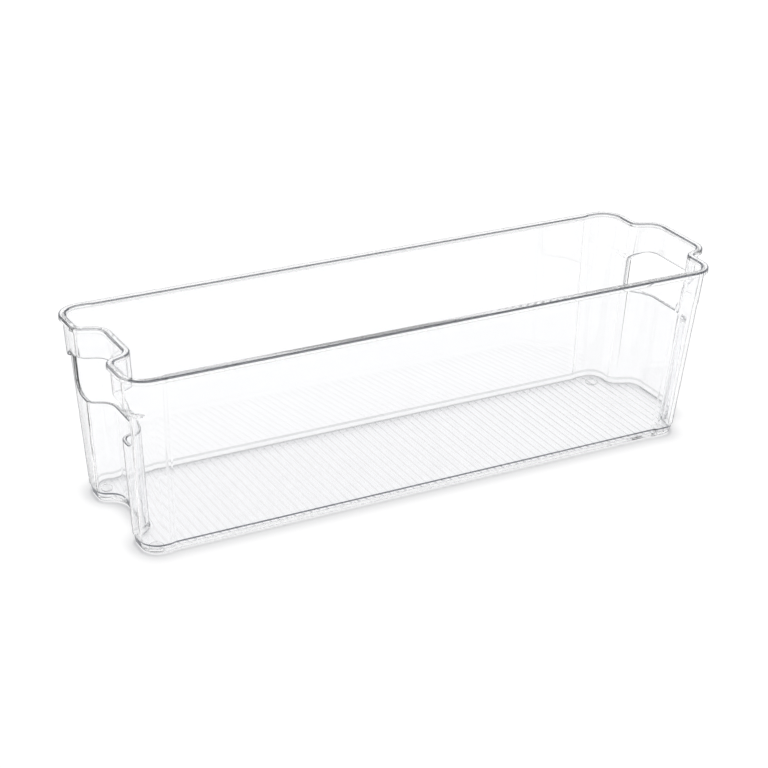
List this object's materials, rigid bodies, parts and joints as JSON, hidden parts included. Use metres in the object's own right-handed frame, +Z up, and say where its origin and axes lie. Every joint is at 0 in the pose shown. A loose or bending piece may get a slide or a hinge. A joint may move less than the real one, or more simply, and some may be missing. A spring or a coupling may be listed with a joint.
{
  "type": "fridge storage box",
  "caption": "Long narrow clear plastic fridge bin with an open top, leaning walls, a rolled rim, a ribbed floor, and a hand hole in each end.",
  "frame": {"origin": "centre of the overall box on the surface that the feet stand on", "axes": "+X along the length, towards the bulging end; +Y to the rear long wall; +Z up"},
  "size_m": [0.32, 0.092, 0.091],
  "materials": {
    "clear_plastic": "clear, polished moulding"
  },
  "bodies": {
    "root": {"floor": "clear_plastic", "floor_ribs": "clear_plastic", "front_left_foot": "clear_plastic", "front_left_post": "clear_plastic", "front_right_foot": "clear_plastic", "front_right_post": "clear_plastic", "front_rim": "clear_plastic", "front_wall": "clear_plastic", "left_end_panel": "clear_plastic", "left_handle_band": "clear_plastic", "left_rim": "clear_plastic", "rear_left_foot": "clear_plastic", "rear_left_post": "clear_plastic", "rear_right_foot": "clear_plastic", "rear_right_post": "clear_plastic", "rear_rim": "clear_plastic", "rear_wall": "clear_plastic", "right_end_panel": "clear_plastic", "right_handle_band": "clear_plastic", "right_rim": "clear_plastic"}
  },
  "joints": []
}
